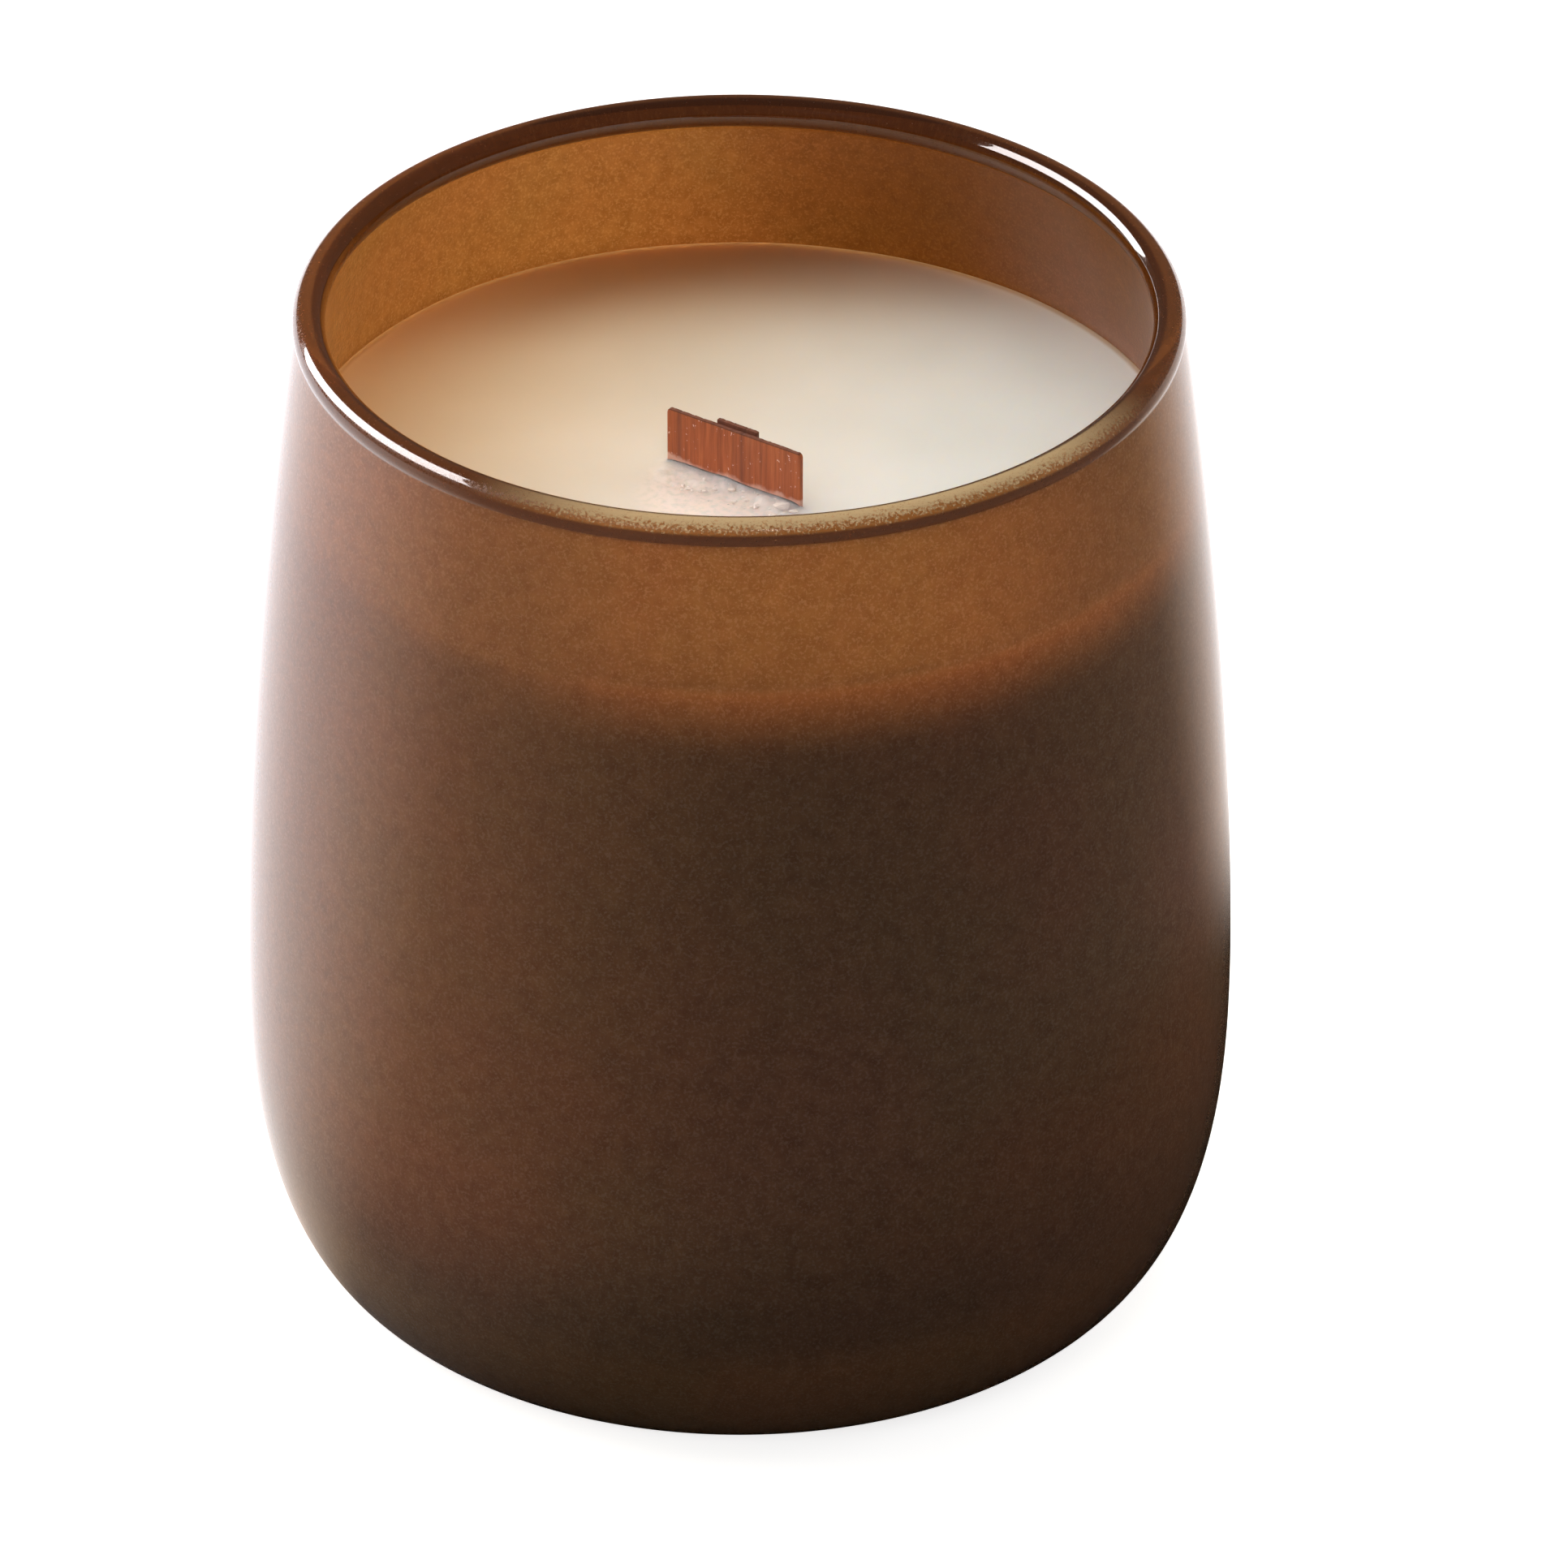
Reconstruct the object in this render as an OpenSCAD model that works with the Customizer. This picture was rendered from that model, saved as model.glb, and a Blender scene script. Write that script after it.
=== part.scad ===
// Poured candle with a flat wooden wick in a heavy-footed, barrel-shaped glass.
// Origin: centre of the foot, on the surface it stands on. +Z is up.

/* [Glass jar] */
// Overall height, foot to top of the rim
jar_h = 98.6; // [85:0.1:120]
// Outside diameter at the widest point of the belly
belly_d = 92; // [88:0.1:112]
// Height of the widest point
belly_h = 29.2; // [22:0.1:42]
// Outside diameter of the wall where it meets the rim bead
neck_d = 80.5; // [66:0.1:86]
// Outside diameter of the flat foot
foot_d = 73.3; // [60:0.1:84]
// Diameter of the flat floor inside
floor_d = 66; // [52:0.1:74]
// Wall thickness
wall = 1.8; // [1.5:0.1:2.6]
// Thickness of the glass floor
floor_t = 7; // [4:0.5:10]
// How strongly the side bows between belly and neck (1 is a straight cone)
flank_bow = 1.67; // [1.2:0.01:2.5]
// How square the turn from foot to belly is (2 is an ellipse)
heel_square = 2.55; // [2:0.05:4]

/* [Rim bead] */
// How much thicker the fire-polished bead is than the wall
bead_swell = 1.2; // [0.6:0.1:2]
// How far the bead stands out past the wall
bead_proud = 0.25; // [0:0.05:0.5]

/* [Underside] */
// Width of the flat ring that the jar stands on
ring_w = 6; // [3:0.5:10]
// Height of the hollow inside the ring, at its centre
push_up = 1.2; // [0.5:0.1:2.5]

/* [Wax] */
// Drop from the top of the rim to the wax
fill_drop = 16.6; // [12:0.1:30]

/* [Wooden wick] */
// Width of the blade
blade_w = 14.8; // [10:0.1:18]
// Thickness of the blade
blade_t = 0.5; // [0.4:0.05:1.2]
// Height of the blade above the wax
blade_stand = 5.8; // [3:0.1:8]
// Radius of the blade's two top corners
blade_corner = 0.4; // [0.2:0.1:1]
// Width of the booster strip glued to the back of the blade
booster_w = 4.4; // [3:0.1:8]
// Thickness of the booster strip
booster_t = 0.5; // [0.4:0.05:1.2]
// How far the booster strip ends above the blade
booster_proud = 0.3; // [0:0.1:1]
// Turn of the wick about the jar's axis
wick_turn = -35.3; // [-180:0.1:180]
// Place of the wick to the right of the jar's axis
wick_x = -0.4; // [-6:0.1:6]
// Place of the wick behind the jar's axis
wick_y = -4.8; // [-6:0.1:6]

/* [Wick clip and sticker] */
// Diameter of the clip's foot
clip_d = 20; // [18:0.5:26]
// Thickness of the clip's sheet steel
clip_t = 0.3; // [0.2:0.05:0.5]
// Width of the two arms that grip the blade
arm_w = 8; // [5:0.5:9]
// Height of the arms, which are cut out of the foot and folded up
arm_h = 7; // [4:0.5:7]
// Thickness of the double-sided foam sticker under the clip
sticker_t = 1; // [0.5:0.1:1.6]

/* [Hidden] */
$fn = 120;

belly_r = belly_d / 2;
neck_r = neck_d / 2;
foot_r = foot_d / 2;
floor_r = floor_d / 2;
bead_r = (wall + bead_swell) / 2;
bead_z = jar_h - bead_r;
bead_centre_r = neck_r + bead_proud - bead_r;
wax_z = jar_h - fill_drop;
clip_z = floor_t + sticker_t;
blade_z = clip_z + clip_t;
blade_top = wax_z + blade_stand;
booster_top = blade_top + booster_proud;
front_arm_y = -blade_t / 2 - clip_t;
back_arm_y = blade_t / 2 + booster_t;
cut = 1;
heel_step = 7.5;
flank_steps = 9;
neck_steps = 4;
dome_steps = 6;

// Outside radius of the wall at height z, from the belly up to the bead
function flank_r(z) =
    belly_r - (belly_r - neck_r) * pow((z - belly_h) / (bead_z - belly_h), flank_bow);

// Points up a stretch of the flank, inset from its outside
function flank(z0, z1, steps, inset) =
    [for (i = [0:steps]) let (z = z0 + (z1 - z0) * i / steps) [flank_r(z) - inset, z]];

// Points round the heel: a quarter superellipse from (r0, z0) out to (r1, belly height)
function heel(r0, z0, r1) =
    [for (a = [0:heel_step:90])
        [r0 + (r1 - r0) * sin(a), belly_h - (belly_h - z0) * pow(cos(a), 2 / heel_square)]];

// Points across the shallow hollow under the foot, from the axis out to the ring
function hollow(r1) =
    [for (i = [0:dome_steps]) let (u = i / dome_steps) [r1 * u, push_up * (1 - u * u)]];

function backwards(points) = [for (i = [len(points) - 1:-1:0]) points[i]];

// The inside of the glass that the wax touches, from the edge of the floor up to the fill line
wetted = concat(
    heel(floor_r, floor_t, belly_r - wall),
    flank(belly_h, wax_z, flank_steps, wall));

// The inside of the glass above the fill line
dry = flank(wax_z, bead_z, neck_steps, wall);

module at_wick() {
    translate([wick_x, wick_y, 0]) rotate([0, 0, wick_turn]) children();
}

module glass_jar() color("saddlebrown", 0.6) rotate_extrude() {
    polygon(concat(
        hollow(foot_r - ring_w),
        heel(foot_r, 0, belly_r),
        flank(belly_h, bead_z, flank_steps + neck_steps, 0),
        backwards(dry),
        backwards(wetted),
        [[0, floor_t]]));
    translate([bead_centre_r, bead_z]) circle(bead_r);
}

// The wax is cast round everything that stands in it, so it fills the rest of the glass exactly
module wax_fill() color("antiquewhite") difference() {
    rotate_extrude() polygon(concat([[0, floor_t]], wetted, [[0, wax_z]]));
    wick_sticker();
    wick_clip();
    wick_blade();
    wick_booster();
}

module wick_blade() color("peru") at_wick()
    translate([0, blade_t / 2, 0]) rotate([90, 0, 0]) linear_extrude(blade_t) {
        translate([-blade_w / 2, blade_z])
            square([blade_w, blade_top - blade_corner - blade_z]);
        translate([blade_corner - blade_w / 2, blade_z])
            square([blade_w - 2 * blade_corner, blade_top - blade_z]);
        for (side = [-1, 1])
            translate([side * (blade_w / 2 - blade_corner), blade_top - blade_corner])
                circle(blade_corner);
    }

module wick_booster() color("sienna") at_wick()
    translate([-booster_w / 2, blade_t / 2, blade_z])
        cube([booster_w, booster_t, booster_top - blade_z]);

module wick_clip() color("silver") at_wick() {
    difference() {
        translate([0, 0, clip_z]) cylinder(d = clip_d, h = clip_t);
        clip_window(front_arm_y - arm_h);
        clip_window(back_arm_y + clip_t);
    }
    clip_arm(front_arm_y);
    clip_arm(back_arm_y);
}

// The hole that an arm leaves in the foot, arm_h long, with its nearest edge at the lower y
module clip_window(y) {
    translate([-arm_w / 2, y, clip_z - cut]) cube([arm_w, arm_h, clip_t + 2 * cut]);
}

module clip_arm(y) {
    translate([-arm_w / 2, y, clip_z]) cube([arm_w, clip_t, clip_t + arm_h]);
}

module wick_sticker() color("white") at_wick()
    translate([0, 0, floor_t]) cylinder(d = clip_d, h = sticker_t);

glass_jar();
wax_fill();
wick_blade();
wick_booster();
wick_clip();
wick_sticker();
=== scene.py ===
"""Poured candle in a brown lacquered glass tumbler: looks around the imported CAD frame.

Lengths are metres in the CAD frame: origin at the centre of the foot, +Z up.
"""

import math

import bpy
import numpy as np
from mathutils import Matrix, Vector, noise


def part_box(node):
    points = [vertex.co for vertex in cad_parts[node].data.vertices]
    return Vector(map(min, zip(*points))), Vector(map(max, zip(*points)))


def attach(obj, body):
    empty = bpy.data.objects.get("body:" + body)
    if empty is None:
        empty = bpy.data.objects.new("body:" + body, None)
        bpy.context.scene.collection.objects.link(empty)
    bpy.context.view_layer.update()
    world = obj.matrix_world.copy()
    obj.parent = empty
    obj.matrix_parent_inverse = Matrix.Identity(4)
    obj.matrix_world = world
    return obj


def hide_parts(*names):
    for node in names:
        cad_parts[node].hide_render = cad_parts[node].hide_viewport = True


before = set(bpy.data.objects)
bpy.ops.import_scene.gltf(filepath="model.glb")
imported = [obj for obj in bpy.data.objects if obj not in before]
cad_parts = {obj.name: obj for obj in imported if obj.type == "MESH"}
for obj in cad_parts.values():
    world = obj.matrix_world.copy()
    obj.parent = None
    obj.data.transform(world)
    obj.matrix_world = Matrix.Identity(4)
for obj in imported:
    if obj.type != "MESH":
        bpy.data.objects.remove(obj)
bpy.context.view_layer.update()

MM = 0.001
GLOW_FROM = Vector((-0.383, 0.924, 0))

# ---- Sizes taken from the frame ----
jar_low, jar_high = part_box("glass_jar")
wax_low, wax_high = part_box("wax_fill")
blade_low, blade_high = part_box("wick_blade")
booster_low, booster_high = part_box("wick_booster")
JAR_H = jar_high[2]
BELLY_R = jar_high[0]
WAX_Z = wax_high[2]
FLOOR_Z = wax_low[2]

# ---- Sizes of the glass that a box can't give, as in the CAD source ----
WALL = 1.8 * MM
BEAD_R = 1.5 * MM
BEAD_PROUD = 0.25 * MM
NECK_R = 40.25 * MM
FOOT_R = 36.65 * MM
FLOOR_R = 33 * MM
BELLY_Z = 29.2 * MM
RING_W = 6 * MM
PUSH_UP = 1.2 * MM
FLANK_BOW = 1.67
HEEL_SQUARE = 2.55
BEAD_Z = JAR_H - BEAD_R
BEAD_CENTRE_R = NECK_R + BEAD_PROUD - BEAD_R
RIM_FILLET = 0.5 * MM
LIP_FILLET = 0.9 * MM
TURNS = 256

# ---- The wick's place, as in the CAD source ----
WICK_TURN = math.radians(-35.3)
WICK_X, WICK_Y = -0.4 * MM, -4.8 * MM
BLADE_W, BLADE_T = 14.8 * MM, 0.5 * MM
BOOSTER_W, BOOSTER_T = 4.4 * MM, 0.5 * MM
BLADE_CORNER = 0.4 * MM
ALONG = Vector((math.cos(WICK_TURN), math.sin(WICK_TURN), 0))
ACROSS = Vector((-math.sin(WICK_TURN), math.cos(WICK_TURN), 0))
WICK = Vector((WICK_X, WICK_Y, 0))

# ---- The wax top, and the flakes on it ----
MENISCUS = 0.2 * MM
BANK_H, BANK_REACH = 0.75 * MM, 3.4 * MM
RAGGED = 0.2 * MM
CLIMB = 0.15 * MM
BACK_BANK_H = 0.3 * MM
FLAKES = 46


# ---------------------------------------------------------------- camera, light and floor

def look_at(obj, target):
    obj.rotation_euler = (Vector(target) - obj.location).to_track_quat("-Z", "Y").to_euler()


def make_camera():
    """A long lens, 26 rim radii away and 29 degrees above the rim."""
    data = bpy.data.cameras.new("camera")
    data.lens = 257.0
    data.sensor_width = 36.0
    data.shift_x = 0.0285
    data.clip_end = 20
    cam = bpy.data.objects.new("camera", data)
    bpy.context.scene.collection.objects.link(cam)
    elevation, distance = math.radians(29.37), 1.0146
    pitch = math.radians(31.77)
    cam.location = (0, -distance * math.cos(elevation), BEAD_Z + distance * math.sin(elevation))
    cam.rotation_euler = (math.pi / 2 - pitch, 0, 0)
    bpy.context.scene.camera = cam


def softbox(name, place, target, width, height, power, colour=(1, 1, 1)):
    data = bpy.data.lights.new(name, "AREA")
    data.shape = "RECTANGLE"
    data.size, data.size_y = width, height
    data.energy = power
    data.color = colour
    light = bpy.data.objects.new(name, data)
    light.location = place
    look_at(light, target)
    light.visible_glossy = False
    bpy.context.scene.collection.objects.link(light)
    return light


def make_lights():
    """Soft light from the left and from behind, and two small amber and pink fills on the wax;
    what the gloss mirrors is set apart below."""
    middle = (0, 0, 0.6 * JAR_H)
    left_wax = (-31 * MM, 6 * MM, WAX_Z)
    softbox("key_left", (-0.66, 0.25, 0.74), middle, 0.9, 0.7, 2.9)
    softbox("top_back", (0.1, 0.55, 0.95), middle, 0.8, 0.6, 1.4)
    softbox("fill_right", (0.9, 0.1, 0.5), middle, 0.4, 0.7, 1.5)
    softbox("fill_front", (-0.5, -0.9, 0.9), middle, 0.5, 0.5, 1.8)
    glow = softbox("amber_bounce", (0, -0.6, 0.7), left_wax, 0.03, 0.03, 0.0009, (1, 0.6, 0.25))
    glow.data.spread = math.radians(3.2)
    bank = WICK - 3 * MM * ACROSS + Vector((0, 0, WAX_Z))
    glow = softbox("wick_bounce", (0.1, -0.6, 0.75), bank, 0.03, 0.03, 0.00052, (1, 0.80, 0.75))
    glow.data.spread = math.radians(1.6)


def give_light(card):
    """Turns a card into a lamp that only the gloss mirrors. Returns its nodes and its emission."""
    mat = bpy.data.materials.new(card.name)
    mat.use_nodes = True
    mat.node_tree.nodes.clear()
    n = Nodes(mat.node_tree)
    emit = n.add("ShaderNodeEmission")
    n.link(emit.outputs[0], n.add("ShaderNodeOutputMaterial").inputs["Surface"])
    card.data.materials.append(mat)
    card.visible_camera = False
    card.visible_diffuse = False
    card.visible_transmission = False
    card.visible_shadow = False
    return n, emit


def make_mirrored_softbox():
    """The large softbox up at the left and behind, as the gloss on the rim mirrors it."""
    corners = [(-0.75, 0.65, 0.13), (-0.77, -0.24, 0.59), (-0.48, 0.17, 0.86), (-0.56, 0.71, 0.42)]
    mesh = bpy.data.meshes.new("mirrored_softbox")
    mesh.from_pydata(corners, [], [(0, 1, 2, 3)])
    card = bpy.data.objects.new("mirrored_softbox", mesh)
    bpy.context.scene.collection.objects.link(card)
    emit = give_light(card)[1]
    emit.inputs["Color"].default_value = (1, 0.93, 0.92, 1)
    emit.inputs["Strength"].default_value = 14


def make_world():
    """White to the camera, dim to the gloss, and to all else a studio bright behind and left."""
    world = bpy.data.worlds.new("studio")
    bpy.context.scene.world = world
    world.use_nodes = True
    nt = world.node_tree
    nt.nodes.clear()
    n = Nodes(nt)
    direction = n.add("ShaderNodeTexCoord").outputs["Generated"]
    side = n.dot(direction, GLOW_FROM)
    glow = n.ramp(side, [(0.0, (0.06, 0.06, 0.06)), (0.5, (0.14, 0.13, 0.12)),
                         (0.62, (2.0, 1.85, 1.5)), (0.76, (1.5, 1.35, 1.05)),
                         (0.90, (0.68, 0.60, 0.45)), (1.0, (0.66, 0.58, 0.43))], low=-1, high=1)
    glow = n.mix(n.between(n.z_of(direction), -0.95, -0.45), (0.02, 0.02, 0.02), glow)
    seen = n.add("ShaderNodeBackground")
    seen.inputs["Color"].default_value = (1, 1, 1, 1)
    felt = n.add("ShaderNodeBackground")
    n.link(glow, felt.inputs["Color"])
    gloss = n.add("ShaderNodeBackground")
    gloss.inputs["Color"].default_value = (0.12, 0.09, 0.07, 1)
    ray = n.add("ShaderNodeLightPath")
    mirrored = n.math("MULTIPLY", ray.outputs["Is Glossy Ray"], ray.outputs["Is Reflection Ray"])
    shown = felt.outputs[0]
    for kind, background in ((mirrored, gloss), (ray.outputs["Is Camera Ray"], seen)):
        mix = n.add("ShaderNodeMixShader")
        n.link(kind, mix.inputs[0])
        n.link(shown, mix.inputs[1])
        n.link(background.outputs[0], mix.inputs[2])
        shown = mix.outputs[0]
    n.link(shown, n.add("ShaderNodeOutputWorld").inputs["Surface"])


def disc(name):
    """A round level sheet, much wider than the view."""
    bpy.ops.mesh.primitive_circle_add(vertices=96, radius=6, fill_type="NGON")
    obj = bpy.context.object
    obj.name = name
    return obj


def make_reflected_table():
    """What the glossy surfaces mirror of the table: bright behind and to the left, dark in front
    and close round the foot, as on a table lit from behind. Only reflections see it."""
    card = disc("reflected_table")
    card.location.z = 0.1 * MM
    n, emit = give_light(card)
    flat = n.level_part()
    heading = n.vector("NORMALIZE", flat)
    side = n.dot(heading, GLOW_FROM)
    glow = n.ramp(side, [(0.0, (0.09, 0.07, 0.06)), (0.46, (0.15, 0.12, 0.11)),
                         (0.52, (0.38, 0.29, 0.23)), (0.65, (1.0, 0.83, 0.73)),
                         (0.75, (1.3, 1.19, 1.15)), (1.0, (1.65, 1.6, 1.66))],
                  low=-1, high=1)
    n.link(glow, emit.inputs["Color"])
    # The dark patch round the foot reaches less far towards the left
    reach = n.math("MULTIPLY_ADD", n.dot(heading, (-0.95, 0.3, 0)), 45 * MM, n.length(flat))
    n.link(n.between(reach, 44 * MM, 85 * MM), emit.inputs["Strength"])


def make_floor():
    floor = disc("floor")
    mat, n, shader = new_material("floor_paint")
    shader.inputs["Base Color"].default_value = (0.93, 0.93, 0.93, 1)
    shader.inputs["Roughness"].default_value = 0.9
    shader.inputs["Emission Color"].default_value = (1, 1, 1, 1)
    shader.inputs["Emission Strength"].default_value = 0.8
    floor.data.materials.append(mat)
    floor.visible_glossy = False
    floor.visible_transmission = False


# ---------------------------------------------------------------- node helpers

class Nodes:
    """Short names for the nodes that the materials are built from."""

    def __init__(self, tree):
        self.tree = tree

    def add(self, kind, **settings):
        node = self.tree.nodes.new(kind)
        for key, value in settings.items():
            setattr(node, key, value)
        return node

    def link(self, source, target):
        self.tree.links.new(source, target)

    def put(self, socket, value):
        """Links a socket, or sets a plain value."""
        if isinstance(value, bpy.types.NodeSocket):
            self.link(value, socket)
        else:
            socket.default_value = value

    def math(self, operation, a, b=0.0, c=0.0):
        node = self.add("ShaderNodeMath", operation=operation)
        for socket, value in zip(node.inputs, (a, b, c)):
            self.put(socket, value)
        return node.outputs[0]

    def dot(self, a, b):
        node = self.add("ShaderNodeVectorMath", operation="DOT_PRODUCT")
        self.put(node.inputs[0], a)
        self.put(node.inputs[1], b)
        return node.outputs["Value"]

    def vector(self, operation, a, b=(0, 0, 0)):
        """A vector sum whose result is a vector."""
        node = self.add("ShaderNodeVectorMath", operation=operation)
        self.put(node.inputs[0], a)
        self.put(node.inputs[1], b)
        return node.outputs[0]

    def length(self, vector):
        node = self.add("ShaderNodeVectorMath", operation="LENGTH")
        self.put(node.inputs[0], vector)
        return node.outputs["Value"]

    def inverse(self, value):
        return self.math("SUBTRACT", 1.0, value)

    def between(self, value, low, high):
        """0 at low, 1 at high, smooth between and clamped outside."""
        node = self.add("ShaderNodeMapRange", interpolation_type="SMOOTHSTEP")
        self.put(node.inputs["Value"], value)
        node.inputs["From Min"].default_value = low
        node.inputs["From Max"].default_value = high
        return node.outputs["Result"]

    def noise(self, scale, detail, roughness, vector=None):
        node = self.add("ShaderNodeTexNoise")
        node.inputs["Scale"].default_value = scale
        node.inputs["Detail"].default_value = detail
        node.inputs["Roughness"].default_value = roughness
        self.link(vector or self.place(), node.inputs["Vector"])
        return node.outputs["Fac"]

    def place(self):
        """The point's own place on the piece, in metres."""
        if not hasattr(self, "_place"):
            self._place = self.add("ShaderNodeTexCoord").outputs["Object"]
        return self._place

    def height(self):
        """How high the point is over the foot."""
        return self.z_of(self.place())

    def z_of(self, vector):
        split = self.add("ShaderNodeSeparateXYZ")
        self.link(vector, split.inputs[0])
        return split.outputs["Z"]

    def level_part(self):
        """The point's place with its height left out, so its length is the distance to the axis."""
        return self.vector("MULTIPLY", self.place(), (1, 1, 0))

    def stretched(self, scale):
        """The point's place, scaled, so that a noise over it is drawn out along small scales."""
        node = self.add("ShaderNodeMapping")
        self.link(self.place(), node.inputs["Vector"])
        node.inputs["Scale"].default_value = scale
        return node.outputs[0]

    def ramp(self, value, stops, low=0.0, high=1.0):
        """A colour ramp; stops are (place from 0 to 1, colour)."""
        if (low, high) != (0.0, 1.0):
            node = self.add("ShaderNodeMapRange")
            self.put(node.inputs["Value"], value)
            node.inputs["From Min"].default_value = low
            node.inputs["From Max"].default_value = high
            value = node.outputs["Result"]
        ramp = self.add("ShaderNodeValToRGB")
        bands = ramp.color_ramp.elements
        while len(bands) < len(stops):
            bands.new(0.5)
        for band, (place, colour) in zip(bands, stops):
            band.position = place
            band.color = (*colour, 1)
        self.link(value, ramp.inputs["Fac"])
        return ramp.outputs["Color"]

    def mix(self, amount, a, b, blend="MIX"):
        node = self.add("ShaderNodeMix", data_type="RGBA", blend_type=blend)
        self.put(node.inputs[0], amount)
        self.put(node.inputs[6], (*a, 1) if isinstance(a, tuple) else a)
        self.put(node.inputs[7], (*b, 1) if isinstance(b, tuple) else b)
        return node.outputs[2]

    def bump(self, height, depth, strength=1.0, normal=None):
        """A bump whose full height is depth metres."""
        node = self.add("ShaderNodeBump")
        node.inputs["Strength"].default_value = strength
        node.inputs["Distance"].default_value = depth
        self.link(height, node.inputs["Height"])
        if normal:
            self.link(normal, node.inputs["Normal"])
        return node.outputs["Normal"]


def new_material(name):
    mat = bpy.data.materials.new(name)
    mat.use_nodes = True
    tree = mat.node_tree
    tree.nodes.clear()
    n = Nodes(tree)
    shader = n.add("ShaderNodeBsdfPrincipled")
    n.link(shader.outputs[0], n.add("ShaderNodeOutputMaterial").inputs["Surface"])
    return mat, n, shader


# ---------------------------------------------------------------- materials

def add_gloss(shader, roughness):
    """Clear gloss over brown glass: the coat mirrors, and the glass under it hardly does."""
    shader.inputs["IOR"].default_value = 1.45
    shader.inputs["Specular IOR Level"].default_value = 0.1
    shader.inputs["Coat Weight"].default_value = 1.0
    shader.inputs["Coat Roughness"].default_value = roughness
    shader.inputs["Coat IOR"].default_value = 1.5


def lacquer():
    """Smoked-amber lacquer over glass: it passes light, scatters it, and has a clear gloss."""
    mat, n, shader = new_material("amber_lacquer")
    cloud = n.noise(760, 5, 0.65)
    grain = n.noise(3600, 2, 0.7)
    body = n.ramp(cloud, [(0.3, (0.26, 0.088, 0.013)), (0.7, (0.44, 0.175, 0.038))])
    speck = n.between(grain, 0.50, 0.64)
    body = n.mix(n.math("MULTIPLY", speck, 0.6), body, (0.66, 0.35, 0.12))
    # Broad patches, some redder and some more olive
    tone = n.between(n.noise(38, 3, 0.5), 0.35, 0.65)
    body = n.mix(0.5, body, n.mix(tone, (0.78, 1.0, 0.95), (1.0, 0.80, 0.85)), "MULTIPLY")
    # Darker low down: partly the thick glass in the heel, with lacquer on both of its sides, and
    # partly painted shade over the lower wall up to just above the belly
    thick_heel_and_shade = n.inverse(n.between(n.height(), -2 * MM, 32 * MM))
    body = n.mix(thick_heel_and_shade, body, n.mix(1.0, body, (0.24, 0.24, 0.27), "MULTIPLY"))
    n.link(body, shader.inputs["Base Color"])
    n.link(n.math("MULTIPLY_ADD", grain, 0.25, 0.65), shader.inputs["Roughness"])
    shader.inputs["Transmission Weight"].default_value = 0.9
    add_gloss(shader, 0.12)
    peel = n.bump(n.noise(700, 2, 0.5), 0.02 * MM, 0.6)
    n.link(n.bump(grain, 0.012 * MM, 0.8, peel), shader.inputs["Normal"])
    return mat


def rim_glass():
    """The bead: brown, with overspray that thins out in specks on its top; on the front's top the
    bare glass between them is painted bright gold, a painted glow and highlight.
    """
    mat, n, shader = new_material("amber_rim")
    out = n.math("SUBTRACT", n.length(n.level_part()), BEAD_CENTRE_R)
    up = n.math("SUBTRACT", n.height(), BEAD_Z)
    # Degrees round the bead's section: 0 is outermost and 90 on top
    turn = n.math("MULTIPLY", n.math("ARCTAN2", up, out), 180 / math.pi)
    cover = n.inverse(n.between(turn, 8, 84))
    grain = n.noise(3600, 2, 0.8)
    drops = n.between(n.math("MULTIPLY_ADD", grain, 3.0, cover), 1.7, 2.3)
    # Bare glass between the drops is painted bright gold: painted light that stands in for backlight
    # glowing through and for a highlight
    specks_and_glow = n.mix(drops, (1.0, 0.76, 0.44), (0.50, 0.19, 0.04))
    coat = (0.16, 0.050, 0.014)
    inner = (0.06, 0.014, 0.003)
    # Painted glow and highlight: the thinned, golden specks show only on the side towards the front,
    # and elsewhere the bead stays brown
    front_glow_side = n.between(n.dot(n.place(), (0.25, -0.97, 0)), 24 * MM, 36 * MM)
    specks_and_glow = n.mix(front_glow_side, coat, specks_and_glow)
    body = n.mix(n.between(turn, 15, 27), coat, specks_and_glow)
    body = n.mix(n.between(turn, 92, 108), body, inner)
    # Past the horizontal on the inside the angle starts again from below
    body = n.mix(n.between(n.math("MULTIPLY", out, -1.0), 0.7 * MM, 1.1 * MM), body, inner)
    n.link(body, shader.inputs["Base Color"])
    n.link(n.math("MULTIPLY_ADD", drops, 0.25, 0.08), shader.inputs["Roughness"])
    shader.inputs["Transmission Weight"].default_value = 0.55
    add_gloss(shader, 0.03)
    n.link(n.bump(grain, 0.002 * MM, 0.5), shader.inputs["Normal"])
    return mat


def tinted_glass():
    """The inside of the jar: clear brown glass, wavy from pressing."""
    mat, n, shader = new_material("tinted_glass")
    cloud = n.noise(300, 4, 0.6)
    body = n.ramp(cloud, [(0.3, (0.28, 0.090, 0.018)), (0.7, (0.38, 0.132, 0.028))])
    # Painted light and shade: paler behind at the left above the wax, where light shines through the
    # wall, and darker behind at the right, in shade
    painted_backlight = n.between(n.dot(n.place(), (-0.85, 0.53, 0)), 12 * MM, 38 * MM)
    painted_backlight = n.math("MULTIPLY", painted_backlight, n.between(n.height(), WAX_Z - 1 * MM, WAX_Z + 2 * MM))
    body = n.mix(painted_backlight, body, (0.72, 0.33, 0.09))
    painted_shade = n.between(n.dot(n.place(), (0.85, 0.53, 0)), 14 * MM, 36 * MM)
    body = n.mix(painted_shade, body, (0.13, 0.035, 0.004))
    n.link(body, shader.inputs["Base Color"])
    shader.inputs["Specular IOR Level"].default_value = 0.3
    shader.inputs["Transmission Weight"].default_value = 1.0
    shader.inputs["Roughness"].default_value = 0.04
    shader.inputs["IOR"].default_value = 1.35
    n.link(n.bump(n.noise(500, 2, 0.5), 0.01 * MM, 0.4), shader.inputs["Normal"])
    return mat


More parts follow.
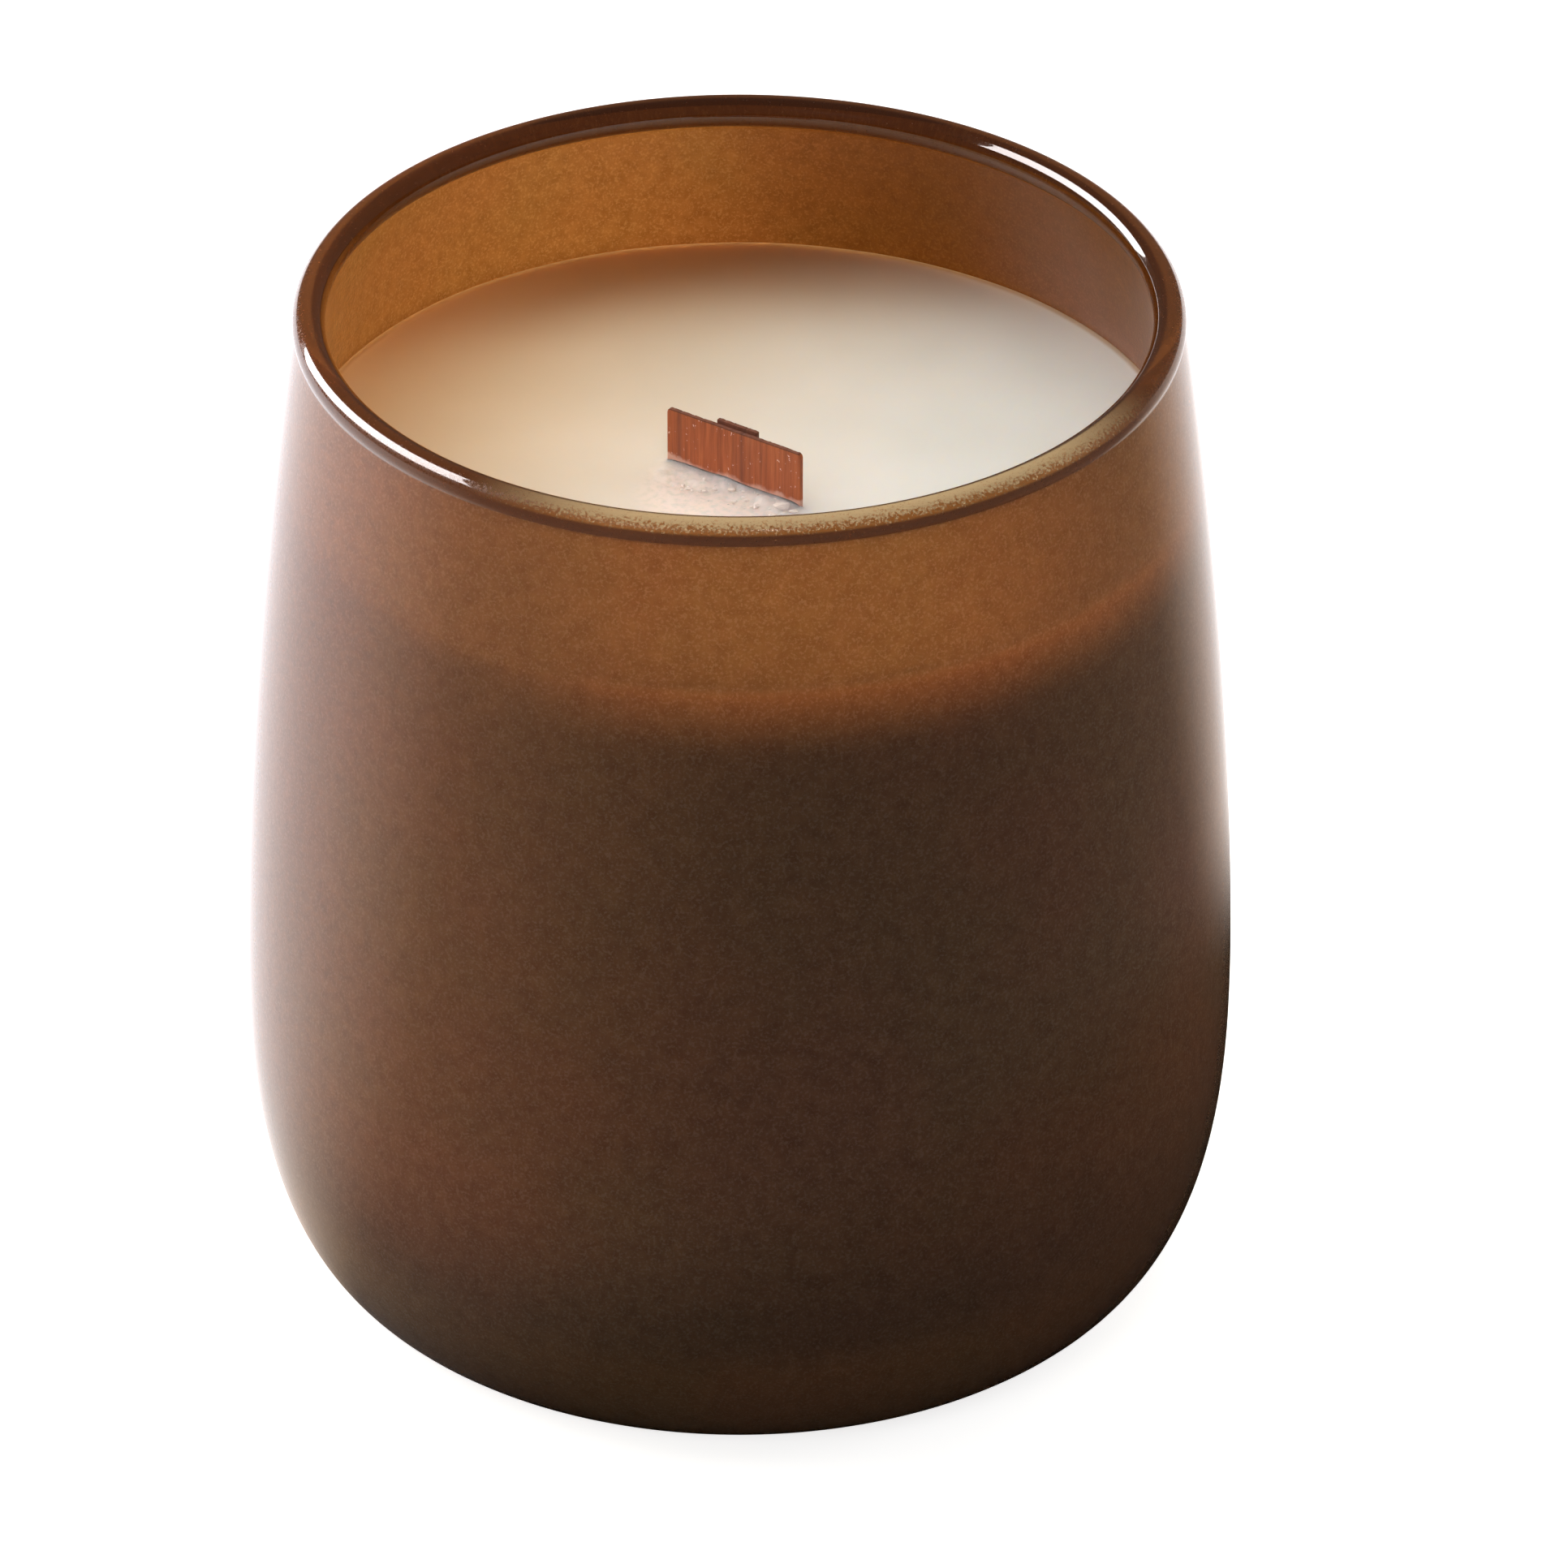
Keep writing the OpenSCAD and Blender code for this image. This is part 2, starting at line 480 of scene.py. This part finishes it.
def wax():
    mat, n, shader = new_material("cream_wax")
    cloud = n.noise(60, 3, 0.5)
    fine = n.noise(1500, 3, 0.6)
    body = n.ramp(cloud, [(0.3, (0.80, 0.81, 0.81)), (0.7, (0.85, 0.865, 0.88))])
    # Painted light: the amber light from the glass, painted as a warmer tint on the wax at the back
    # and the left
    painted_amber_light = n.between(n.dot(n.place(), (-0.8, 0.6, 0)), -22 * MM, 38 * MM)
    body = n.mix(painted_amber_light, body, n.mix(1.0, body, (0.78, 0.61, 0.41), "MULTIPLY"))
    # Painted shade: browner close to the wall behind, a painted shadow and brown reflected from the
    # glass, and a painted dark contact shadow where wax and glass meet
    edge = flank_r(WAX_Z) - WALL
    behind = n.between(n.dot(n.place(), (-0.1, 1, 0)), 20 * MM, edge)
    body = n.mix(behind, body, n.mix(1.0, body, (0.74, 0.60, 0.46), "MULTIPLY"))
    contact_shade = n.between(n.length(n.level_part()), edge - 0.7 * MM, edge - 0.2 * MM)
    body = n.mix(n.math("MULTIPLY", contact_shade, 0.7), body, (0.38, 0.25, 0.14))
    # Frosted, slightly pink wax where the top was smoothed round the wick
    smeared = WICK - 2.6 * MM * ACROSS + Vector((0, 0, WAX_Z))
    off = n.length(n.vector("SUBTRACT", n.place(), smeared))
    frost = n.inverse(n.between(off, 4 * MM, 9 * MM))
    frost = n.math("MULTIPLY", frost, n.between(fine, 0.3, 0.6))
    body = n.mix(n.math("MULTIPLY", frost, 0.8), body, (1.0, 0.87, 0.84))
    # Greyer down the side, where the lacquered glass keeps the light away
    height = n.height()
    deep = n.inverse(n.between(height, WAX_Z - 14 * MM, WAX_Z - 1.5 * MM))
    body = n.mix(deep, body, (0.50, 0.41, 0.31))
    n.link(body, shader.inputs["Base Color"])
    # Painted glow: an emission that stands in for light soaked in from the top, showing for some
    # millimetres down the side towards the front right
    painted_soak_glow = n.between(height, WAX_Z - 7 * MM, WAX_Z - 0.2 * MM)
    painted_soak_glow = n.math("SUBTRACT", painted_soak_glow, n.between(height, WAX_Z - 0.2 * MM, WAX_Z))
    painted_soak_glow = n.math("MULTIPLY", painted_soak_glow, n.between(n.dot(n.place(), (0.9, -0.4, 0)), -15 * MM, 18 * MM))
    n.link(n.mix(painted_soak_glow, (0, 0, 0), (0.23, 0.10, 0.04)), shader.inputs["Emission Color"])
    shader.inputs["Emission Strength"].default_value = 1.0
    shader.inputs["Roughness"].default_value = 0.42
    shader.inputs["Subsurface Weight"].default_value = 1.0
    shader.inputs["Subsurface Radius"].default_value = (1.0, 0.85, 0.7)
    shader.inputs["Subsurface Scale"].default_value = 4 * MM
    n.link(n.bump(fine, 0.02 * MM, 0.5), shader.inputs["Normal"])
    return mat


def crumbs_of_wax():
    mat, n, shader = new_material("wax_crumb")
    fine = n.noise(2600, 3, 0.6)
    body = n.ramp(fine, [(0.3, (0.93, 0.87, 0.84)), (0.7, (1.0, 0.97, 0.95))])
    n.link(body, shader.inputs["Base Color"])
    shader.inputs["Roughness"].default_value = 0.3
    shader.inputs["Subsurface Weight"].default_value = 0.3
    shader.inputs["Subsurface Radius"].default_value = (1.0, 0.9, 0.8)
    shader.inputs["Subsurface Scale"].default_value = 0.1 * MM
    n.link(n.bump(fine, 0.03 * MM, 0.7), shader.inputs["Normal"])
    return mat


def wood():
    """Oiled cherry with its grain upright, and flecks of wax caught in it."""
    mat, n, shader = new_material("wick_cherry")
    upright = n.stretched((1, 1, 0.05))
    streak = n.noise(2600, 4, 0.65, upright)
    band = n.noise(420, 2, 0.5, upright)
    body = n.ramp(streak, [(0.25, (0.25, 0.060, 0.017)), (0.55, (0.46, 0.117, 0.032)),
                           (0.8, (0.62, 0.20, 0.062))])
    body = n.mix(n.math("MULTIPLY", n.between(band, 0.5, 0.7), 0.5), body, (0.24, 0.07, 0.03))
    # Two darker rays through the blade
    along = n.math("SUBTRACT", n.dot(n.place(), ALONG), WICK.dot(ALONG))
    for centre, width in ((0.9 * MM, 0.45 * MM), (-6.0 * MM, 0.5 * MM)):
        off = n.math("ABSOLUTE", n.math("SUBTRACT", along, centre))
        ray = n.inverse(n.between(off, 0.0, width))
        body = n.mix(n.math("MULTIPLY", ray, 0.5), body, (0.17, 0.05, 0.025))
    # Wax has soaked into the foot and sits in the grain as flecks
    height = n.height()
    creep = n.math("MULTIPLY_ADD", n.noise(500, 3, 0.6), 1.6 * MM, WAX_Z - 0.1 * MM)
    soaked = n.inverse(n.between(n.math("SUBTRACT", height, creep), 0.0, 0.5 * MM))
    body = n.mix(n.math("MULTIPLY", soaked, 0.7), body, (0.78, 0.52, 0.44))
    fleck = n.between(n.noise(2600, 3, 0.65, n.stretched((1, 1, 0.6))), 0.66, 0.69)
    body = n.mix(n.math("MULTIPLY", fleck, 0.8), body, (0.90, 0.68, 0.60))
    # Cut ends and the strip behind the blade are darker
    brow = n.between(height, blade_high[2] - 0.16 * MM, blade_high[2] - 0.08 * MM)
    behind = n.math("SUBTRACT", n.dot(n.place(), ACROSS), WICK.dot(ACROSS))
    behind = n.between(behind, 0.20 * MM, 0.30 * MM)
    body = n.mix(n.math("MULTIPLY", n.math("MAXIMUM", brow, behind), 0.75), body, (0.07, 0.02, 0.01))
    n.link(body, shader.inputs["Base Color"])
    n.link(n.math("MULTIPLY_ADD", fleck, -0.3, 0.6), shader.inputs["Roughness"])
    n.link(n.bump(streak, 0.05 * MM, 0.8), shader.inputs["Normal"])
    return mat


def tinned_steel():
    mat, n, shader = new_material("tinned_steel")
    scratch = n.noise(4000, 3, 0.6, n.stretched((0.05, 1, 1)))
    n.link(n.ramp(scratch, [(0.3, (0.62, 0.62, 0.60)), (0.7, (0.80, 0.80, 0.79))]),
           shader.inputs["Base Color"])
    shader.inputs["Metallic"].default_value = 1.0
    n.link(n.math("MULTIPLY_ADD", scratch, 0.25, 0.2), shader.inputs["Roughness"])
    n.link(n.bump(scratch, 0.01 * MM, 0.5), shader.inputs["Normal"])
    return mat


def foam():
    mat, n, shader = new_material("sticker_foam")
    cell = n.add("ShaderNodeTexVoronoi")
    cell.inputs["Scale"].default_value = 3500
    n.link(n.place(), cell.inputs["Vector"])
    size = cell.outputs["Distance"]
    n.link(n.ramp(size, [(0.0, (0.68, 0.68, 0.66)), (0.6, (0.86, 0.86, 0.84))]),
           shader.inputs["Base Color"])
    shader.inputs["Roughness"].default_value = 0.9
    n.link(n.bump(size, 0.05 * MM, 0.7), shader.inputs["Normal"])
    return mat


# ---------------------------------------------------------------- shapes

def flank_r(z):
    """Outside radius of the wall from the belly up to the bead."""
    u = max(0.0, (z - BELLY_Z) / (BEAD_Z - BELLY_Z))
    return BELLY_R - (BELLY_R - NECK_R) * u ** FLANK_BOW


def flank(z0, z1, steps, inset):
    return [(flank_r(z) - inset, z) for z in np.linspace(z0, z1, steps + 1)]


def heel(r0, z0, r1, steps=30):
    """Round the heel: a quarter superellipse from (r0, z0) out to (r1, belly height)."""
    points = []
    for a in np.linspace(0, math.pi / 2, steps + 1):
        drop = max(0.0, math.cos(a)) ** (2 / HEEL_SQUARE)
        points.append((r0 + (r1 - r0) * math.sin(a), BELLY_Z - (BELLY_Z - z0) * drop))
    return points


def hollow(r1, steps=12):
    """Across the shallow hollow under the foot, from the axis out to the ring."""
    return [(r1 * u, PUSH_UP * (1 - u * u)) for u in np.linspace(0, 1, steps + 1)]


def arc(cr, cz, r, a0, a1, steps):
    return [(cr + r * math.cos(a), cz + r * math.sin(a)) for a in np.linspace(a0, a1, steps + 1)]


def rim(inset, fillet, side):
    """Where the wall turns into the bead: the height at which the wall ends, the fillet's centre
    and the angle from the bead's centre to it. side is 1 outside the wall and -1 inside."""
    slope = (flank_r(BEAD_Z) - flank_r(BEAD_Z - MM)) / MM
    length = math.hypot(1, slope)
    up, out = Vector((slope, 1)) / length, Vector((1, -slope)) / length * side
    on_wall = Vector((flank_r(BEAD_Z) - inset, BEAD_Z))
    bead = Vector((BEAD_CENTRE_R, BEAD_Z))
    sunk = (on_wall - bead).dot(out)
    foot = bead + out * sunk
    drop = math.sqrt((BEAD_R + fillet) ** 2 - (fillet + sunk) ** 2)
    centre = foot - up * drop + out * fillet
    to_wall, to_bead = -out, (bead - centre).normalized()
    return (foot - up * drop).y, centre, to_wall, to_bead


def corner(centre, start, end, radius, steps=8):
    """The short way round a fillet, from direction start to direction end."""
    a0, a1 = math.atan2(start.y, start.x), math.atan2(end.y, end.x)
    a1 = a0 + (a1 - a0 + math.pi) % (2 * math.pi) - math.pi
    return arc(centre.x, centre.y, radius, a0, a1, steps)


def jar_profile():
    """The glass's section, from under the foot round the rim and back to the floor inside."""
    z_out, c_out, wall_out, bead_out = rim(0, RIM_FILLET, 1)
    z_in, c_in, wall_in, bead_in = rim(WALL, LIP_FILLET, -1)
    a_out = math.atan2(-bead_out.y, -bead_out.x)
    a_in = math.atan2(-bead_in.y, -bead_in.x) % (2 * math.pi)
    outside = hollow(FOOT_R - RING_W) + heel(FOOT_R, 0, BELLY_R)
    outside += flank(BELLY_Z, z_out, 44, 0)[1:]
    outside += corner(c_out, wall_out, bead_out, RIM_FILLET)[1:]
    bead = arc(BEAD_CENTRE_R, BEAD_Z, BEAD_R, a_out, a_in, 48)
    inside = corner(c_in, bead_in, wall_in, LIP_FILLET)[1:]
    inside += flank(z_in, BELLY_Z, 44, WALL)[1:]
    inside += heel(FLOOR_R, FLOOR_Z, BELLY_R - WALL)[::-1][1:]
    inside += [(0.5 * FLOOR_R, FLOOR_Z), (0, FLOOR_Z)]
    return outside, bead, inside


def lathe(name, points, slot_of=None, turns=TURNS):
    """Turns a section round the Z axis. A point on the axis becomes one vertex."""
    verts, faces, slots, rings = [], [], [], []
    for r, z in points:
        if r < 1e-7:
            rings.append([len(verts)] * turns)
            verts.append((0, 0, z))
            continue
        rings.append(list(range(len(verts), len(verts) + turns)))
        for i in range(turns):
            a = 2 * math.pi * i / turns
            verts.append((r * math.cos(a), r * math.sin(a), z))
    for k in range(len(rings) - 1):
        a, b = rings[k], rings[k + 1]
        for i in range(turns):
            j = (i + 1) % turns
            face = [a[i], a[j], b[j], b[i]]
            faces.append(list(dict.fromkeys(face)))
            slots.append(slot_of(k) if slot_of else 0)
    mesh = bpy.data.meshes.new(name)
    mesh.from_pydata(verts, [], faces)
    mesh.polygons.foreach_set("material_index", slots)
    mesh.polygons.foreach_set("use_smooth", [True] * len(faces))
    mesh.update()
    obj = bpy.data.objects.new(name, mesh)
    bpy.context.scene.collection.objects.link(obj)
    return obj


# ---------------------------------------------------------------- pieces

def finish(obj, node, slot, *materials):
    """Puts a piece in the place of a CAD node."""
    for mat in materials:
        obj.data.materials.append(mat)
    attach(obj, "root")
    if node:
        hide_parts(node)


def make_jar():
    outside, bead, inside = jar_profile()
    points = outside + bead[1:] + inside
    bead_from = len(outside) - 1
    bead_to = bead_from + len(bead) - 1

    def slot_of(k):
        if k < bead_from:
            return 0
        return 1 if k < bead_to else 2

    jar = lathe("tumbler", points, slot_of)
    jar.data.set_sharp_from_angle(angle=math.radians(35))
    finish(jar, "glass_jar", "amber_glass", lacquer(), rim_glass(), tinted_glass())


def swell(t, low, high):
    """0 at low, 1 at high, smooth between."""
    u = min(1.0, max(0.0, (t - low) / (high - low)))
    return u * u * (3 - 2 * u)


def wax_lift(x, y, edge):
    """Height of the wax top over its level: a meniscus at the glass, a low bank of smeared wax
    in front of the blade and a little one behind, and small waves."""
    p = Vector((x, y, 0))
    lift = MENISCUS * math.exp(-(edge - p.length) / (0.45 * MM))
    lift += 0.06 * MM * noise.noise(p * 130)
    u, v = (p - WICK).dot(ALONG), (p - WICK).dot(ACROSS)
    front = -v - BLADE_T / 2
    ends = swell(u, -9.0 * MM, -6.6 * MM) * swell(-u, -8.6 * MM, -6.4 * MM)
    if v < 0 and ends > 0:
        reach = BANK_REACH + 1.0 * MM * noise.noise(Vector((u * 300, 3.1, 0)))
        bank = (1 - swell(front, 0, reach)) ** 1.4 * (0.75 + 0.25 * noise.noise(p * 400))
        torn = noise.fractal(Vector((u * 600, front * 1100, 7.7)), 1.0, 2.0, 4)
        ragged = RAGGED * torn * swell(reach - front, 0, 1.2 * MM) * swell(front, 0, 0.5 * MM)
        climb = CLIMB * math.exp(-max(0.0, front) / (0.15 * MM))
        lift += ends * (BANK_H * bank + ragged + climb)
    elif ends > 0:
        lift += BACK_BANK_H * ends * math.exp(-max(0.0, v - BLADE_T / 2) / (0.5 * MM))
    return lift


def make_wax():
    """One closed block: side and bottom follow the glass, and the top is a fine polar grid."""
    bite = 0.05 * MM
    side = heel(FLOOR_R, FLOOR_Z, BELLY_R - WALL + bite) + flank(BELLY_Z, WAX_Z, 30, WALL - bite)[1:]
    edge = side[-1][0]
    rings = 190
    top = [(edge * (1 - k / rings), WAX_Z) for k in range(1, rings)] + [(0, WAX_Z)]
    points = [(0, FLOOR_Z - bite), (0.5 * FLOOR_R, FLOOR_Z - bite)] + side + top
    block = lathe("wax_block", points, turns=384)
    for vertex in block.data.vertices:
        if vertex.co.z > WAX_Z - 0.01 * MM:
            vertex.co.z += wax_lift(vertex.co.x, vertex.co.y, edge)
    for name in ("wick_blade", "wick_booster", "wick_clip", "wick_sticker"):
        cut = block.modifiers.new(name, "BOOLEAN")
        cut.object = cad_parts[name]
        cut.solver = "EXACT"
    depsgraph = bpy.context.evaluated_depsgraph_get()
    carved = bpy.data.meshes.new_from_object(block.evaluated_get(depsgraph))
    block.modifiers.clear()
    block.data = carved
    carved.set_sharp_from_angle(angle=math.radians(60))
    carved.materials.clear()
    finish(block, "wax_fill", "cream_wax", wax())


def make_crumbs():
    """Flakes of wax left lying on the bank, most of them by the blade's right foot."""
    verts, faces = [], []
    golden = math.pi * (3 - math.sqrt(5))
    for k in range(FLAKES):
        roll = noise.cell_vector(Vector((k + 0.5, 3.5, 8.5)))
        other = noise.cell_vector(Vector((k + 0.5, 9.5, 1.5)))
        gather = roll.x ** 0.6
        u = (-6.5 + 14.0 * gather) * MM
        v = -BLADE_T / 2 - (0.35 + 3.2 * roll.y ** 1.3) * MM
        size = (0.07 + 0.17 * roll.z ** 3) * MM
        # The largest lies by the right foot
        if k == 0:
            u, v, size = 6.2 * MM, -1.25 * MM, 0.42 * MM
        spot = WICK + ALONG * u + ACROSS * v
        z = WAX_Z + wax_lift(spot.x, spot.y, 1.0) + 0.4 * size
        stretch = Vector((1.0 + other.x, 1.0, 0.55 + 0.4 * other.y))
        start = len(verts)
        rows, cols = 5, 8
        verts.append((spot.x, spot.y, z - size * stretch.z))
        for i in range(1, rows):
            for j in range(cols):
                a, b = math.pi * i / rows, 2 * math.pi * j / cols + k * golden
                way = Vector((math.sin(a) * math.cos(b), math.sin(a) * math.sin(b), -math.cos(a)))
                way *= size * (1 + 0.45 * noise.noise(way * 1.7 + Vector((k * 3.3, 0, 0))))
                verts.append((spot.x + way.x * stretch.x, spot.y + way.y, z + way.z * stretch.z))
        verts.append((spot.x, spot.y, z + size * stretch.z))
        last = len(verts) - 1
        for j in range(cols):
            n = (j + 1) % cols
            faces.append((start, start + 1 + n, start + 1 + j))
            faces.append((last, last - cols + j, last - cols + n))
            for i in range(rows - 2):
                a = start + 1 + i * cols
                faces.append((a + j, a + n, a + cols + n, a + cols + j))
    mesh = bpy.data.meshes.new("wax_crumbs")
    mesh.from_pydata(verts, [], faces)
    obj = bpy.data.objects.new("wax_crumbs", mesh)
    bpy.context.scene.collection.objects.link(obj)
    finish(obj, None, "cream_wax", crumbs_of_wax())


def make_strip(name, node, width, y0, y1, z0, z1, corner_r, material, seed):
    """An upright strip of sawn wood: ribbed by its grain, and torn a little along the top."""
    cols, rows = 220, 44
    verts, faces = [], []
    for face_y, inward in ((y0, 1), (y1, -1)):
        for i in range(rows + 1):
            for j in range(cols + 1):
                u = -width / 2 + width * j / cols
                rounded = max(0.0, abs(u) - (width / 2 - corner_r))
                top = z1 - corner_r + math.sqrt(max(0.0, corner_r ** 2 - rounded ** 2))
                torn = noise.fractal(Vector((u * 2500, seed, 0)), 1.0, 2.0, 3)
                top -= 0.05 * MM * min(1.0, max(0.0, 0.35 + torn))
                v = i / rows
                z = z0 + (top - z0) * (1 - (1 - v) ** 1.6)
                rib = noise.fractal(Vector((u * 1900, z * 60, seed + face_y * 9000)), 1.0, 2.0, 4)
                depth = 0.035 * MM * min(1.0, max(0.0, 0.5 + 0.5 * rib))
                edge = min(width / 2 - abs(u), top - z)
                depth *= swell(z, WAX_Z + 0.9 * MM, WAX_Z + 1.6 * MM)
                depth += 0.05 * MM * (1 - swell(edge, 0, 0.12 * MM))
                spot = WICK + ALONG * u + ACROSS * (face_y + inward * depth)
                verts.append((spot.x, spot.y, z))
    side = (rows + 1) * (cols + 1)

    def at(i, j, back):
        return back * side + i * (cols + 1) + j

    for i in range(rows):
        for j in range(cols):
            faces.append((at(i, j, 0), at(i, j + 1, 0), at(i + 1, j + 1, 0), at(i + 1, j, 0)))
            faces.append((at(i, j, 1), at(i + 1, j, 1), at(i + 1, j + 1, 1), at(i, j + 1, 1)))
    for j in range(cols):
        faces.append((at(0, j, 0), at(0, j, 1), at(0, j + 1, 1), at(0, j + 1, 0)))
        faces.append((at(rows, j, 0), at(rows, j + 1, 0), at(rows, j + 1, 1), at(rows, j, 1)))
    for i in range(rows):
        faces.append((at(i, 0, 0), at(i + 1, 0, 0), at(i + 1, 0, 1), at(i, 0, 1)))
        faces.append((at(i, cols, 0), at(i, cols, 1), at(i + 1, cols, 1), at(i + 1, cols, 0)))
    mesh = bpy.data.meshes.new(name)
    mesh.from_pydata(verts, [], faces)
    mesh.polygons.foreach_set("use_smooth", [True] * len(faces))
    mesh.set_sharp_from_angle(angle=math.radians(40))
    obj = bpy.data.objects.new(name, mesh)
    bpy.context.scene.collection.objects.link(obj)
    finish(obj, node, "wick_wood", material)


def make_wick():
    timber = wood()
    make_strip("wood_blade", "wick_blade", BLADE_W, -BLADE_T / 2, BLADE_T / 2,
               blade_low[2], blade_high[2], BLADE_CORNER, timber, 1.3)
    make_strip("wood_booster", "wick_booster", BOOSTER_W, BLADE_T / 2, BLADE_T / 2 + BOOSTER_T,
               booster_low[2], booster_high[2], 0.05 * MM, timber, 5.9)


def finish_cad_nodes():
    """The two hidden parts keep their CAD shape."""
    for name, material in (("wick_clip", tinned_steel()), ("wick_sticker", foam())):
        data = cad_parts[name].data
        data.materials.clear()
        data.materials.append(material)


make_camera()
make_lights()
make_world()
make_reflected_table()
make_mirrored_softbox()
make_floor()
make_jar()
make_wax()
make_crumbs()
make_wick()
finish_cad_nodes()
bpy.context.scene.view_settings.view_transform = "Standard"
